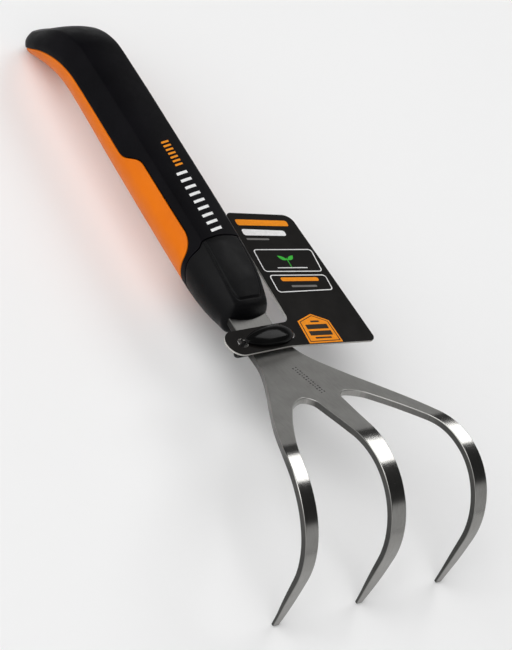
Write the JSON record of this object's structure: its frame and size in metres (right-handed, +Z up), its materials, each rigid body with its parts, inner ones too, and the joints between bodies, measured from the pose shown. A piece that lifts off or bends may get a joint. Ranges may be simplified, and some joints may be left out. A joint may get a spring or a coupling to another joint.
{
  "type": "hand cultivator",
  "caption": "Hand cultivator with a stamped stainless tine head curving down in front of a soft grip with a hooked butt, and a card tag strapped to its neck.",
  "frame": {"origin": "centre of the small flat under the butt, on the ground plane that the tine tips also stand on", "axes": "+Z up, +Y from the butt to the tines, the tool symmetric about X = 0 apart from its tag, which is on the -X side"},
  "size_m": [0.1043, 0.3045, 0.0566],
  "materials": {
    "stainless": "brushed flat faces, polished over the bends",
    "orange_core": "satin moulded plastic",
    "soft_black": "matte soft-touch overmould with a fine grain",
    "collar_black": "fine-grained moulded plastic",
    "card": "dark printed and varnished card",
    "tie_black": "glossy moulded plastic"
  },
  "bodies": {
    "tool": {"tine_head": "stainless", "grip_core": "orange_core", "soft_grip": "soft_black", "nose_collar": "collar_black"},
    "tag_tie": {"tag_strap": "tie_black", "tag_lock": "tie_black"},
    "tag_card": {"hang_tag": "card"}
  },
  "joints": [
    {"name": "strap_slide", "type": "slide", "parent": "tool", "child": "tag_tie", "axis": [0, 0.9995, 0.0305], "range_m": [-0.004, 0.0003]},
    {"name": "tag_swing", "type": "hinge", "parent": "tag_tie", "child": "tag_card", "pos_m": [0.0026, 0.18855, 0.034], "axis": [-0.9981, -0.0459, -0.0415], "range_deg": [0, 5]}
  ]
}
